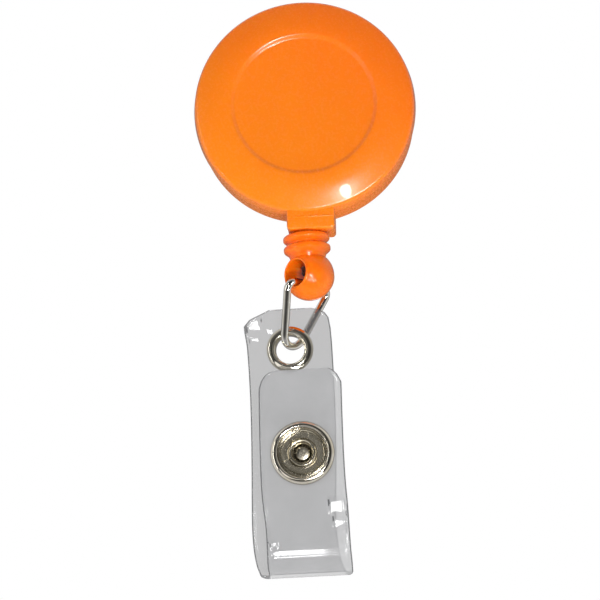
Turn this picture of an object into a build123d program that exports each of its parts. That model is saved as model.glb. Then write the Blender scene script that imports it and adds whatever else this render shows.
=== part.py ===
"""Retractable badge reel: a round spring reel with a belt clip, a stopper ball, a wire link and a snap strap.

Millimetres. +Z is up, X is to the right and the front faces -Y. The origin is in the belt clip's grip,
level with the axle, so the case's own axis is the line x = 0, z = 0.
"""

import os
from math import acos, atan2, cos, pi, radians, sin, tan

from build123d import *

# Driving dimensions of the case. Depths are measured forward from the origin, so depth = -y.
CASE_R = 16.0
BACK_CASE_R = 15.85
BACK_EDGE_R = 15.6
BACK_DEPTH = 1.2
PARTING_DEPTH = 6.9
CROWN_DEPTH = 9.9
CROWN_DROP = 1.0
RIM_ROUND = 0.5
RIM_SLOPE = 21.0
RECESS_R = 10.35
RECESS_STEP = 0.45
COVER_WALL = 1.1
CASE_FLOOR = 1.2
CASE_INNER_R = 14.5
LIP_INNER_R = 13.7
LIP_CLEARANCE = 0.05

# The nose that the cord leaves through
NOSE_HALF_WIDTH = 3.4
NOSE_SHIFT = 0.5  # the case hangs slightly turned on its cord
NOSE_BOTTOM = -18.3
NOSE_FRONT_DEPTH = 8.6
NOSE_BACK_DEPTH = 2.4
GUIDE_R = 0.55
GUIDE_FLARE_R = 1.5

# Axle, spool and flat spring
AXLE_R = 2.0
AXLE_TIP_R = 1.0
AXLE_TAIL_R = 1.1
AXLE_HEAD_R = 2.0
RUNNING_CLEARANCE = 0.06
SPOOL_BACK_DEPTH = 3.0
SPOOL_FRONT_DEPTH = 7.8
FLANGE_R = 13.2
FLANGE_T = 0.6
DRUM_R = 9.8
DRUM_INNER_R = 9.1
SPRING_COVER_T = 0.4
SPRING_T = 0.15
SPRING_FIRST_R = 2.6
SPRING_HALF_PITCH = 0.31
SPRING_HALF_TURNS = 20
SPRING_DEPTHS = (3.6, 6.8)
AXLE_SLIT = 0.4

# Cord
CORD_R = 0.4
CORD_DEPTH = 5.4
WIND_FIRST_R = 10.25
WIND_LAYER_STEP = 0.82
WIND_LAYERS = 3
WIND_PITCH = 0.9
WIND_PER_LAYER = 4
LEAD_WRAP_R = 12.6
LEAD_BEND_R = 2.0
LEAD_CORNER_Z = -14.2
LEAD_WRAP_ANGLE = 40.0

# Stopper: ribbed neck and ball, on the cord's axis
STOPPER_TOP = -18.5
BALL_Z = -24.43
BALL_R = 3.55
CROSS_HOLE_R = 2.0
CORD_BORE_R = 0.48
HOLE_YAW = 50.0

# Knot in the ball
KNOT_R = 0.95
KNOT_OFFSET = 0.55
KNOT_LIFT = 0.8

# Wire link
WIRE_R = 0.55
LINK_BAR_DROP = 1.33
LINK_SLIDE = 0.1
LINK_HALF_WIDTH = 3.95
LINK_CORNER_R = 1.1
LINK_BEND_R = 2.0
LINK_LEAN = 24.5
LINK_LEG_ANGLE = 17.52
LINK_JOINT_GAP = 0.05

# Vinyl strap, in its own frame: x across, y up, z towards the front, origin at the eyelet's centre
EYELET_AT = (-3.10, -3.36, -34.66)
STRAP_TILT = 2.0
STRAP_ROLL = 1.2
STRAP_W = 12.5
STRAP_T = 0.5
STRAP_TOP = 5.9
STRAP_BOTTOM = -32.4
STRAP_CORNER_R = 3.2
LAYER_STEP = 2.6
FLAP_TOP = -3.55
FLAP_SHIFT = 1.2
FLAP_CORNER_R = 2.0
SKEW_LENGTH = 8.0
PIVOT_ABOVE_FOLD = 1.2
PIVOT_HALF_GAP = 0.42
SNAP_Y = -15.3

# Eyelet and snap fastener
EYELET_HOLE_R = 2.0
EYELET_BARREL_R = 2.2
EYELET_FLANGE_R = 3.2
EYELET_RISE = 0.3
WASHER_T = 0.25
STUD_FLANGE_R = 3.3
STUD_BORE_R = 0.7
STUD_BARREL_R = 1.0
SOCKET_BARREL_R = 1.5
SOCKET_HOLE_R = 1.3
WINDOW_COUNT = 4
WINDOW_HALF_ANGLE = 24.0
WINDOW_RADII = (2.05, 2.9)

# Belt clip
CLIP_W = 10.0
CLIP_T = 0.5
CLIP_MID = 0.95
CLIP_TOP_Z = 13.2
CLIP_BOTTOM_Z = -12.5
LEAF_PIVOT_Z = 12.2
LEAF_HALF_GAP = 0.3

# The case frame: z runs forward out of the case, y is up
CASE = Plane(origin=(0, 0, 0), x_dir=(1, 0, 0), z_dir=(0, -1, 0)).location


def strap_location():
    """The strap's frame: leaned by STRAP_TILT about X and rolled by STRAP_ROLL about its own normal."""
    tilt = radians(STRAP_TILT)
    roll = radians(STRAP_ROLL)
    up = Vector(0, -sin(tilt), cos(tilt))
    front = Vector(0, -cos(tilt), -sin(tilt))
    across = Vector(1, 0, 0) * cos(roll) + up * sin(roll)
    return Plane(origin=EYELET_AT, x_dir=across, z_dir=front).location


STRAP = strap_location()


def turned(points, depth=0.0):
    """A solid turned about local Z from its (radius, height) outline."""
    outline = Polyline(*[(r, 0, z + depth) for r, z in points], close=True)
    return revolve(make_face(outline), Axis.Z)


def ring(outer_r, inner_r, low, high):
    """A flat ring about local Z between two heights."""
    body = Pos(0, 0, low) * extrude(Circle(outer_r) - Circle(inner_r), high - low)
    return body


def rounded_edge(cx, cz, radius, start, end, steps=6):
    """Points of a round edge in an outline, from angle start to angle end in degrees."""
    angles = [radians(start + (end - start) * i / steps) for i in range(steps + 1)]
    return [(cx + radius * cos(a), cz + radius * sin(a)) for a in angles]


def dome_height(radius):
    """Depth of the front annulus, which falls from the recess towards the rim as a shallow arc."""
    span = (radius - RECESS_R) / (CASE_R - RIM_ROUND - RECESS_R)
    return CROWN_DEPTH - CROWN_DROP * span**2


def front_cover():
    """Shallow front shell with a crowned annulus, a recessed round label face and a lip inside."""
    recess = CROWN_DEPTH - RECESS_STEP
    inner_face = recess - COVER_WALL
    crown = [(r, dome_height(r)) for r in (11.2, 12.0, 12.8, 13.6, 14.3, 15.0)]
    rim_r = CASE_R - RIM_ROUND
    rim_angle = 90 - RIM_SLOPE
    rim_z = dome_height(rim_r + RIM_ROUND * cos(radians(rim_angle))) - RIM_ROUND * sin(radians(rim_angle))
    outline = [(0, recess), (RECESS_R - 0.45, recess)]
    outline += rounded_edge(RECESS_R - 0.45, recess + 0.2, 0.2, -90, 0, 4)[1:]
    outline += rounded_edge(RECESS_R + 0.05, dome_height(RECESS_R + 0.05) - 0.28, 0.28, 180, 90, 5)
    outline += crown
    outline += rounded_edge(rim_r, rim_z, RIM_ROUND, rim_angle, 0, 7)
    outline += [(CASE_R, PARTING_DEPTH), (CASE_INNER_R - LIP_CLEARANCE, PARTING_DEPTH)]
    outline += [(CASE_INNER_R - LIP_CLEARANCE, PARTING_DEPTH - 0.9), (LIP_INNER_R, PARTING_DEPTH - 0.9)]
    outline += [(LIP_INNER_R, inner_face), (3.0, inner_face), (3.0, SPOOL_FRONT_DEPTH + 0.1)]
    outline += [(AXLE_TIP_R + 0.05, SPOOL_FRONT_DEPTH + 0.1), (AXLE_TIP_R + 0.05, inner_face)]
    outline += [(0, inner_face)]
    shell = turned(outline)
    nose_height = -NOSE_BOTTOM - CASE_R + 1.0
    nose_depth = NOSE_FRONT_DEPTH - PARTING_DEPTH
    nose = Box(2 * NOSE_HALF_WIDTH, nose_height, nose_depth, align=(Align.CENTER, Align.MIN, Align.MIN))
    nose = Pos(NOSE_SHIFT, NOSE_BOTTOM, PARTING_DEPTH) * nose
    front_edges = nose.faces().sort_by(Axis.Z)[-1].edges()
    below = [e for e in front_edges if e.center().Y < NOSE_BOTTOM + nose_height / 2 + 0.1]
    nose = fillet(below, 0.35)
    return CASE * (shell + nose)


def back_case():
    """Deep back shell: floor, wall, the rear half of the nose and the cord's guide hole."""
    outline = [(AXLE_TAIL_R, BACK_DEPTH)]
    outline += rounded_edge(BACK_EDGE_R - 0.8, BACK_DEPTH + 0.8, 0.8, -90, 0, 7)
    outline += [(BACK_CASE_R, PARTING_DEPTH), (CASE_INNER_R, PARTING_DEPTH)]
    outline += rounded_edge(CASE_INNER_R - 0.5, BACK_DEPTH + CASE_FLOOR + 0.5, 0.5, 0, -90, 5)
    outline += [(AXLE_TAIL_R, BACK_DEPTH + CASE_FLOOR)]
    shell = turned(outline)
    nose_height = -NOSE_BOTTOM - CASE_INNER_R - 0.2
    nose_depth = PARTING_DEPTH - NOSE_BACK_DEPTH
    nose = Box(2 * NOSE_HALF_WIDTH, nose_height, nose_depth, align=(Align.CENTER, Align.MIN, Align.MIN))
    nose = Pos(NOSE_SHIFT, NOSE_BOTTOM, NOSE_BACK_DEPTH) * nose
    rear_edges = nose.faces().sort_by(Axis.Z)[0].edges()
    below = [e for e in rear_edges if e.center().Y < NOSE_BOTTOM + nose_height / 2 + 0.1]
    nose = fillet(below, 0.35)
    shell = shell + nose
    from_base = (Align.CENTER, Align.CENTER, Align.MIN)
    guide = Pos(0, 0, CORD_DEPTH) * Rot(90, 0, 0) * Cylinder(GUIDE_R, 40, align=from_base)
    flare_length = 1.6
    flare = Cone(GUIDE_FLARE_R, GUIDE_R, flare_length, align=from_base)
    flare = Pos(0, -CASE_INNER_R + 0.25, CORD_DEPTH) * Rot(90, 0, 0) * flare
    mouth = Cone(GUIDE_R, GUIDE_R + 0.3, 0.3, align=from_base)
    mouth = Pos(0, NOSE_BOTTOM + 0.3, CORD_DEPTH) * Rot(90, 0, 0) * mouth
    return CASE * (shell - guide - flare - mouth)


def spool_axle():
    """Slit steel axle, riveted through the case floor and the belt clip's plate."""
    floor_front = BACK_DEPTH + CASE_FLOOR
    plate_back = BACK_DEPTH - CLIP_T
    outline = [(0, plate_back - 0.4), (AXLE_HEAD_R - 0.5, plate_back - 0.4)]
    outline += [(AXLE_HEAD_R - 0.1, plate_back - 0.22), (AXLE_HEAD_R, plate_back)]
    outline += [(AXLE_TAIL_R, plate_back), (AXLE_TAIL_R, floor_front)]
    outline += [(AXLE_R, floor_front), (AXLE_R, SPOOL_FRONT_DEPTH), (AXLE_TIP_R, SPOOL_FRONT_DEPTH)]
    outline += [(AXLE_TIP_R, SPOOL_FRONT_DEPTH + 0.45), (0, SPOOL_FRONT_DEPTH + 0.45)]
    slit_depth = SPRING_DEPTHS[1] - SPRING_DEPTHS[0] + 0.4
    slit = Pos(0, 0, SPRING_DEPTHS[0] - 0.2) * Box(
        2 * AXLE_R + 1, AXLE_SLIT, slit_depth, align=(Align.CENTER, Align.CENTER, Align.MIN)
    )
    return CASE * (turned(outline) - slit)


def spring_end_radius():
    """Centreline radius of the spring's last half turn."""
    return SPRING_FIRST_R + SPRING_HALF_PITCH * (SPRING_HALF_TURNS - 1)


def spool():
    """Cord spool: drum, two flanges and a front web that turns on the axle."""
    front = SPOOL_FRONT_DEPTH
    back = SPOOL_BACK_DEPTH
    bore = AXLE_R + RUNNING_CLEARANCE
    outline = [(bore, front), (FLANGE_R, front), (FLANGE_R, front - FLANGE_T), (DRUM_R, front - FLANGE_T)]
    outline += [(DRUM_R, back + FLANGE_T), (FLANGE_R, back + FLANGE_T), (FLANGE_R, back)]
    outline += [(DRUM_INNER_R, back), (DRUM_INNER_R, front - 0.7), (bore, front - 0.7)]
    body = turned(outline)
    notch = Pos(-DRUM_INNER_R, 0, back) * Box(
        0.8, 0.6, front - 0.7 - back, align=(Align.CENTER, Align.CENTER, Align.MIN)
    )
    return CASE * (body - notch)


def spring_cover():
    """Thin disc that closes the drum behind the spring."""
    disc = ring(DRUM_INNER_R, AXLE_R + 0.3, SPOOL_BACK_DEPTH, SPOOL_BACK_DEPTH + SPRING_COVER_T)
    return CASE * disc


def half_ring(radius, centre_x, upper):
    """Half a turn of spring strip, above or below the local x axis."""
    strip = Circle(radius + SPRING_T / 2) - Circle(radius - SPRING_T / 2)
    side = Align.MIN if upper else Align.MAX
    half_plane = Rectangle(4 * radius, 2 * radius, align=(Align.CENTER, side))
    return Pos(centre_x, 0) * (strip & half_plane)


def power_spring():
    """Flat spiral spring: half turns on two centres, an inner tongue in the axle's slit and an outer hook."""
    low, high = SPRING_DEPTHS
    strip = Sketch()
    for turn in range(SPRING_HALF_TURNS):
        upper = turn % 2 == 0
        centre_x = 0 if upper else -SPRING_HALF_PITCH
        strip += half_ring(SPRING_FIRST_R + SPRING_HALF_PITCH * turn, centre_x, upper)
    tongue_length = SPRING_FIRST_R + 0.8
    tongue = Pos(-SPRING_FIRST_R, 0) * Rectangle(tongue_length, SPRING_T, align=(Align.MIN, Align.CENTER))
    hook_reach = DRUM_INNER_R + 0.25 - spring_end_radius() - SPRING_HALF_PITCH
    hook_x = -SPRING_HALF_PITCH - spring_end_radius()
    hook = Pos(hook_x, 0) * Rectangle(hook_reach, SPRING_T, align=(Align.MAX, Align.CENTER))
    strip += tongue
    strip += hook
    return CASE * (Pos(0, 0, low) * extrude(strip, high - low))


def cord_winding():
    """The stored cord as closed turns side by side in layers on the drum."""
    turns = []
    first_depth = CORD_DEPTH - WIND_PITCH * (WIND_PER_LAYER - 1) / 2
    for layer in range(WIND_LAYERS):
        for place in range(WIND_PER_LAYER):
            radius = WIND_FIRST_R + WIND_LAYER_STEP * layer
            turn = Pos(0, 0, first_depth + WIND_PITCH * place) * Torus(radius, CORD_R)
            turns.append(CASE * turn)
    return Compound(children=turns)


def lead_points():
    """Corners of the leading cord's route: on the winding, off it at a tangent, and both ends of the bend."""
    leave_angle = acos(LEAD_WRAP_R / -LEAD_CORNER_Z)
    start_angle = leave_angle + radians(LEAD_WRAP_ANGLE)
    mid_angle = (leave_angle + start_angle) / 2
    angles = (start_angle, mid_angle, leave_angle)
    on_winding = [(LEAD_WRAP_R * sin(a), -LEAD_WRAP_R * cos(a)) for a in angles]
    leave_x, leave_y = on_winding[2]
    run = Vector(-leave_x, LEAD_CORNER_Z - leave_y, 0).normalized()
    turn = atan2(-run.X, -run.Y)
    tangent_length = LEAD_BEND_R * tan(abs(turn) / 2)
    bend_start = Vector(0, LEAD_CORNER_Z, 0) - run * tangent_length
    bend_end = Vector(0, LEAD_CORNER_Z - tangent_length, 0)
    return on_winding, run, bend_start, bend_end


def cord_lead():
    """Leading cord from the winding, through the nose and the stopper's bore to the knot."""
    on_winding, run, bend_start, bend_end = lead_points()
    wrap = ThreePointArc(*on_winding)
    slant = Line(on_winding[2], bend_start)
    bend = TangentArc(bend_start, bend_end, tangent=run)
    drop = Line(bend_end, (0, BALL_Z + KNOT_LIFT))
    route = Wire([wrap.edge(), slant.edge(), bend.edge(), drop.edge()])
    section = Plane(origin=route @ 0, z_dir=route % 0) * Circle(CORD_R)
    cord = CASE * (Pos(0, 0, CORD_DEPTH) * sweep(section, path=route))
    return cord - knot_ball()


def hole_direction():
    """Unit vector along the ball's cross hole, towards its front left mouth."""
    yaw = radians(HOLE_YAW)
    return Vector(-cos(yaw), -sin(yaw), 0)


def ball_centre():
    """Centre of the stopper's ball."""
    return Vector(0, -CORD_DEPTH, BALL_Z)


def knot_ball():
    """The lump of the knot, set towards the hole's front mouth."""
    centre = ball_centre() + hole_direction() * KNOT_OFFSET + Vector(0, 0, KNOT_LIFT)
    return Pos(*centre) * Sphere(KNOT_R)


def cord_knot():
    """Knot that holds the stopper on the cord, inside the ball."""
    return knot_ball()


def rib(middle_z, half_height, base_r, crest_r, steps=8):
    """Outline points of one rounded rib, from its top to its bottom."""
    points = []
    for i in range(steps + 1):
        z = middle_z + half_height * (1 - 2 * i / steps)
        points.append((base_r + (crest_r - base_r) * sin(pi * i / steps), z))
    return points


def stopper():
    """Ribbed neck and ball in one moulding, with a bore for the cord and a cross hole for the link."""
    outline = [(CORD_BORE_R, STOPPER_TOP), (2.66, STOPPER_TOP)]
    outline += rib(STOPPER_TOP - 0.64, 0.55, 2.78, 3.3)
    outline += rib(STOPPER_TOP - 2.08, 0.62, 2.78, 3.32)
    outline += [(2.56, STOPPER_TOP - 3.07), (2.5, BALL_Z + 2.3), (1.5, BALL_Z), (CORD_BORE_R, BALL_Z)]
    neck = turned(outline)
    ball = Pos(0, 0, BALL_Z) * Sphere(BALL_R)
    cord_bore = Pos(0, 0, BALL_Z) * Cylinder(CORD_BORE_R, 8, align=(Align.CENTER, Align.CENTER, Align.MIN))
    hole_plane = Plane(origin=(0, 0, BALL_Z), z_dir=hole_direction())
    cross_hole = hole_plane.location * Cylinder(CROSS_HOLE_R, 4 * BALL_R)
    body = neck + ball - cross_hole - cord_bore
    mouths = [e for e in body.edges().filter_by(GeomType.CIRCLE) if abs(e.radius - CROSS_HOLE_R) < 0.001]
    body = fillet(mouths, 0.2)
    return Pos(0, -CORD_DEPTH, 0) * body


def link_plane():
    """The wire link's own plane: x along its bar, y up the link, origin at the bar's middle."""
    lean = radians(LINK_LEAN)
    along = hole_direction()
    sideways = Vector(along.Y, -along.X, 0)
    up = Vector(0, 0, cos(lean)) - sideways * sin(lean)
    origin = ball_centre() - Vector(0, 0, LINK_BAR_DROP) + along * LINK_SLIDE
    return Plane(origin=origin, x_dir=along, z_dir=along.cross(up))


def link():
    """Triangular loop of round wire, butted at the middle of the bar that lies in the ball."""
    leg = radians(LINK_LEG_ANGLE)
    corner_x = LINK_HALF_WIDTH - LINK_CORNER_R + LINK_CORNER_R / tan((pi / 2 - leg) / 2)
    corner_y = -corner_x / tan(leg)
    points = [(LINK_JOINT_GAP, 0), (corner_x, 0), (0, corner_y), (-corner_x, 0), (-LINK_JOINT_GAP, 0)]
    loop = FilletPolyline(*points, radius=[LINK_CORNER_R, LINK_BEND_R, LINK_CORNER_R])
    section = Plane(origin=loop @ 0, z_dir=loop % 0) * Circle(WIRE_R)
    return link_plane().location * sweep(section, path=loop)


def fold_centre_y():
    """Height of the strap's fold centre in the strap's frame."""
    return STRAP_BOTTOM + LAYER_STEP / 2 + STRAP_T / 2


def flap_pivot_y():
    """Height of the line that the flap bends about, just above the fold."""
    return fold_centre_y() + PIVOT_ABOVE_FOLD


def strap_back():
    """Back layer of the strap with the eyelet's tongue, and the fold at its foot."""
    half = STRAP_W / 2
    shift = FLAP_SHIFT / 2
    fold_y = fold_centre_y()
    radius = LAYER_STEP / 2
    outline = Polyline(
        (-half, STRAP_TOP),
        (half, STRAP_TOP),
        (half, fold_y + SKEW_LENGTH),
        (half + shift, fold_y),
        (-half + shift, fold_y),
        (-half, fold_y + SKEW_LENGTH),
        close=True,
    )
    face = make_face(outline)
    face = fillet(face.vertices().group_by(Axis.Y)[-1], STRAP_CORNER_R)
    layer = Pos(0, 0, -STRAP_T / 2) * extrude(face, STRAP_T)
    bend = Circle(radius + STRAP_T / 2) - Circle(radius - STRAP_T / 2)
    bend &= Rectangle(4 * radius, 4 * radius, align=(Align.MAX, Align.CENTER))
    leg_length = PIVOT_ABOVE_FOLD - PIVOT_HALF_GAP
    leg = Pos(0, radius) * Rectangle(leg_length, STRAP_T, align=(Align.MIN, Align.CENTER))
    tip = Pos(leg_length, radius) * Circle(STRAP_T / 2)
    fold = extrude(Plane.YZ * (Pos(fold_y, radius) * (bend + leg + tip)), half, both=True)
    layer = layer + Pos(shift, 0, 0) * fold
    layer -= Cylinder(EYELET_BARREL_R, 2 * STRAP_T)
    layer -= Pos(FLAP_SHIFT, SNAP_Y, 0) * Cylinder(STUD_BARREL_R, 2 * STRAP_T)
    return STRAP * layer


def strap_flap():
    """Front layer of the strap, which carries the snap's socket and opens from its top."""
    half = STRAP_W / 2
    low_shift = FLAP_SHIFT / 2
    low_y = flap_pivot_y() + PIVOT_HALF_GAP
    outline = Polyline(
        (-half + FLAP_SHIFT, FLAP_TOP),
        (half + FLAP_SHIFT, FLAP_TOP),
        (half + FLAP_SHIFT, low_y + SKEW_LENGTH),
        (half + low_shift, low_y),
        (-half + low_shift, low_y),
        (-half + FLAP_SHIFT, low_y + SKEW_LENGTH),
        close=True,
    )
    face = make_face(outline)
    face = fillet(face.vertices().group_by(Axis.Y)[-1], FLAP_CORNER_R)
    layer = Pos(0, 0, LAYER_STEP - STRAP_T / 2) * extrude(face, STRAP_T)
    tip = Pos(low_shift, low_y, LAYER_STEP) * Rot(0, 90, 0) * Cylinder(STRAP_T / 2, STRAP_W)
    layer = layer + tip
    layer -= Pos(FLAP_SHIFT, SNAP_Y, LAYER_STEP) * Cylinder(SOCKET_BARREL_R, 2 * STRAP_T)
    return STRAP * layer


def eyelet():
    """Rolled metal eyelet in the strap's tongue: front flange, barrel and the bead behind."""
    face = STRAP_T / 2
    middle = (EYELET_HOLE_R + EYELET_FLANGE_R) / 2
    half = (EYELET_FLANGE_R - EYELET_HOLE_R) / 2
    washer_t = WASHER_T - 0.1
    outline = [(EYELET_HOLE_R, -face - WASHER_T), (EYELET_BARREL_R + 0.3, -face - WASHER_T)]
    outline += [(EYELET_BARREL_R + 0.3, -face - washer_t), (EYELET_BARREL_R, -face - washer_t)]
    outline += [(EYELET_BARREL_R, face)]
    steps = 12
    for i in range(steps + 1):
        angle = pi * i / steps
        outline.append((middle + half * cos(angle), face + EYELET_RISE * sin(angle)))
    return STRAP * turned(outline)


def eyelet_washer():
    """Washer behind the strap that the eyelet is rolled over."""
    face = STRAP_T / 2
    return STRAP * ring(EYELET_FLANGE_R - 0.1, EYELET_BARREL_R, -face - WASHER_T + 0.1, -face)


def at_snap(body):
    """A snap piece, placed on the snap's axis in the strap's frame."""
    return STRAP * (Pos(FLAP_SHIFT, SNAP_Y, 0) * body)


def bump(middle, half, base, rise, steps=10):
    """Outline points of a rolled ring seen in section, from its outside to its inside."""
    points = []
    for i in range(steps + 1):
        angle = pi * i / steps
        points.append((middle + half * cos(angle), base + rise * sin(angle)))
    return points


def socket_eyelet():
    """Front ring of the snap: rolled rim, inner ring, windowed floor, collar and barrel."""
    face = LAYER_STEP + STRAP_T / 2
    floor = 0.14
    outline = [(SOCKET_BARREL_R, 0), (4.3, 0), (4.5, 0.12)]
    outline += bump(4.02, 0.48, 0.42, 0.44)
    outline += [(3.46, 0.3)]
    outline += bump(3.17, 0.2, 0.34, 0.2)
    outline += [(2.96, floor), (2.0, floor)]
    outline += bump(1.73, 0.22, 0.46, 0.24)
    outline += [(SOCKET_HOLE_R, 0.1), (SOCKET_HOLE_R, -STRAP_T - 0.43), (SOCKET_BARREL_R, -STRAP_T - 0.43)]
    body = turned(outline)
    inner_r, outer_r = WINDOW_RADII
    for i in range(WINDOW_COUNT):
        slot = Circle(outer_r) - Circle(inner_r)
        wedge = Polygon(
            (0, 0),
            (2 * outer_r, 2 * outer_r * tan(radians(WINDOW_HALF_ANGLE))),
            (2 * outer_r, -2 * outer_r * tan(radians(WINDOW_HALF_ANGLE))),
            align=None,
        )
        window = Rot(0, 0, 45 + 360 * i / WINDOW_COUNT) * extrude(slot & wedge, 1)
        body -= window
    return at_snap(Pos(0, 0, face) * body)


def snap_socket():
    """Socket cup behind the flap, with the chamber that holds the spring."""
    back = LAYER_STEP - STRAP_T / 2
    outline = [(SOCKET_BARREL_R, back), (3.9, back), (3.9, back - 0.25), (3.4, back - 0.4)]
    outline += [(3.1, back - 1.3), (2.95, back - 1.4), (1.72, back - 1.4), (1.72, back - 1.24)]
    outline += [(2.65, back - 1.24), (2.75, back - 0.43), (SOCKET_BARREL_R, back - 0.43)]
    return at_snap(turned(outline))


def socket_spring():
    """Wire spring in the socket: two straight grips that close on the stud's neck, joined by round ends."""
    wire_r = 0.15
    grip_x = 1.42
    end_y = 0.98
    half_grip = Pos(grip_x, 0, 0) * Rot(90, 0, 0) * Cylinder(wire_r, 2 * end_y)
    other_grip = Pos(-grip_x, 0, 0) * Rot(90, 0, 0) * Cylinder(wire_r, 2 * end_y)
    above = Box(6, 3, 1, align=(Align.CENTER, Align.MIN, Align.CENTER))
    below = Box(6, 3, 1, align=(Align.CENTER, Align.MAX, Align.CENTER))
    upper = Pos(0, end_y, 0) * (Torus(grip_x, wire_r) & above)
    lower = Pos(0, -end_y, 0) * (Torus(grip_x, wire_r) & below)
    loop = half_grip + other_grip + upper + lower
    height = LAYER_STEP - STRAP_T / 2 - 1.24 + wire_r + 0.01
    return at_snap(Pos(0, 0, height) * loop)


def snap_stud():
    """Stud on the back layer: flange, neck and the round head that the socket grips."""
    face = STRAP_T / 2
    outline = [(STUD_BARREL_R, face), (STUD_FLANGE_R, face), (STUD_FLANGE_R, face + 0.15)]
    outline += [(STUD_FLANGE_R - 0.25, face + 0.3), (1.6, face + 0.35), (1.25, face + 0.55), (1.25, 1.44)]
    outline += [(1.6, 1.58), (1.6, 1.66), (1.45, 1.77), (1.0, 1.83), (0, 1.85)]
    outline += [(0, 1.3), (STUD_BARREL_R, 1.3)]
    return at_snap(turned(outline))


def stud_eyelet():
    """Rivet behind the back layer whose barrel holds the stud."""
    face = -STRAP_T / 2
    outline = [(STUD_BORE_R, 1.2), (STUD_BORE_R, face - 0.3), (2.2, face - 0.3), (2.5, face - 0.15)]
    outline += [(2.5, face), (STUD_BARREL_R, face), (STUD_BARREL_R, 1.2)]
    return at_snap(turned(outline))


def spring_strip(route):
    """A strip of spring steel swept along a route in the YZ plane."""
    start = route @ 0
    section = Plane(origin=start, x_dir=(1, 0, 0), z_dir=route % 0) * Rectangle(CLIP_W, CLIP_T)
    return sweep(section, path=route)


def strip_end(y, z):
    """Rounded end of the strip at the clip's bending line."""
    return Pos(0, y, z) * Rot(0, 90, 0) * Cylinder(CLIP_T / 2, CLIP_W)


def belt_clip():
    """Belt clip's plate against the case, with the fold at its top."""
    end_z = LEAF_PIVOT_Z + LEAF_HALF_GAP
    plate_top = (0, -CLIP_MID, CLIP_TOP_Z)
    leaf_top = (0, CLIP_MID, CLIP_TOP_Z)
    plate = Line((0, -CLIP_MID, CLIP_BOTTOM_Z), plate_top)
    fold = ThreePointArc(plate_top, (0, 0, CLIP_TOP_Z + CLIP_MID), leaf_top)
    stub = Line(leaf_top, (0, CLIP_MID, end_z))
    route = Wire([plate.edge(), fold.edge(), stub.edge()])
    body = spring_strip(route) + strip_end(CLIP_MID, end_z)
    height = 2 * (CLIP_TOP_Z + 2 * CLIP_MID)
    outline = RectangleRounded(CLIP_W, height, 2.0, align=(Align.CENTER, Align.MIN))
    outline = Pos(0, CLIP_BOTTOM_Z, 0) * outline
    body &= extrude(Plane.XZ * outline, 3, both=True)
    rivet_hole = Rot(90, 0, 0) * Cylinder(AXLE_TAIL_R, 4)
    return body - rivet_hole


def belt_clip_leaf():
    """Belt clip's outer leaf: straight, pinched in to the plate near its foot and flared at the lip."""
    start_z = LEAF_PIVOT_Z - LEAF_HALF_GAP
    lip_z = CLIP_BOTTOM_Z - 1.1
    points = [(0, CLIP_MID, start_z), (0, CLIP_MID, -4.5), (0, -0.36, -9.6), (0, 1.8, lip_z)]
    route = FilletPolyline(*points, radius=[4.0, 1.5])
    body = spring_strip(route) + strip_end(CLIP_MID, start_z)
    height = 2 * (LEAF_PIVOT_Z - lip_z)
    outline = Pos(0, lip_z, 0) * RectangleRounded(CLIP_W, height, 3.0, align=(Align.CENTER, Align.MIN))
    body &= extrude(Plane.XZ * outline, 4, both=True)
    return body


PARTS = {
    "front_cover": front_cover,
    "back_case": back_case,
    "spool_axle": spool_axle,
    "spool": spool,
    "spring_cover": spring_cover,
    "power_spring": power_spring,
    "cord_winding": cord_winding,
    "cord_lead": cord_lead,
    "cord_knot": cord_knot,
    "stopper": stopper,
    "link": link,
    "strap_back": strap_back,
    "strap_flap": strap_flap,
    "eyelet": eyelet,
    "eyelet_washer": eyelet_washer,
    "socket_eyelet": socket_eyelet,
    "snap_socket": snap_socket,
    "socket_spring": socket_spring,
    "snap_stud": snap_stud,
    "stud_eyelet": stud_eyelet,
    "belt_clip": belt_clip,
    "belt_clip_leaf": belt_clip_leaf,
}


def main():
    os.makedirs("parts", exist_ok=True)
    for name, build in PARTS.items():
        body = build()
        body.label = name
        export_step(body, f"parts/{name}.step")


main()
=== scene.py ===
"""Retractable badge reel: detailed pieces, materials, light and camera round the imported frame."""

from math import acos, asin, ceil, cos, degrees, exp, hypot, pi, radians, sin, sqrt, tan

import bmesh
import bpy
from mathutils import Matrix, Vector

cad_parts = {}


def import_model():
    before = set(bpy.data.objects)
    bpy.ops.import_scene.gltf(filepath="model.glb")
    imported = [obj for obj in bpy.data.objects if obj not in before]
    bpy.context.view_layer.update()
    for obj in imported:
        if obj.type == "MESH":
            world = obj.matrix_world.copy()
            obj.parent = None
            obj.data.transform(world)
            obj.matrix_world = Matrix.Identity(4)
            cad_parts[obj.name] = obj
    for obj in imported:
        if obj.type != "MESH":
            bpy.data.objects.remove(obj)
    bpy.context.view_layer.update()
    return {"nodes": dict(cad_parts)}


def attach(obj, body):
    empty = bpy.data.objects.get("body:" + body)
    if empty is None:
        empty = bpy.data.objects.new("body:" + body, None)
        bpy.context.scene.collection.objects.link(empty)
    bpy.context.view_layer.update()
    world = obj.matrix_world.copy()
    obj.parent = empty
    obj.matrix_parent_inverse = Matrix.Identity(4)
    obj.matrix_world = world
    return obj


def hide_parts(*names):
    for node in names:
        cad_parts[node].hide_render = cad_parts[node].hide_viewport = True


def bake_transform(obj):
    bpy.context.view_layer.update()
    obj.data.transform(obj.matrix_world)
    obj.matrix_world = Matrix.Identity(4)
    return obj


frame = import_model()
NODES = frame["nodes"]
MM = 0.001
SCENE = bpy.context.scene

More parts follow.
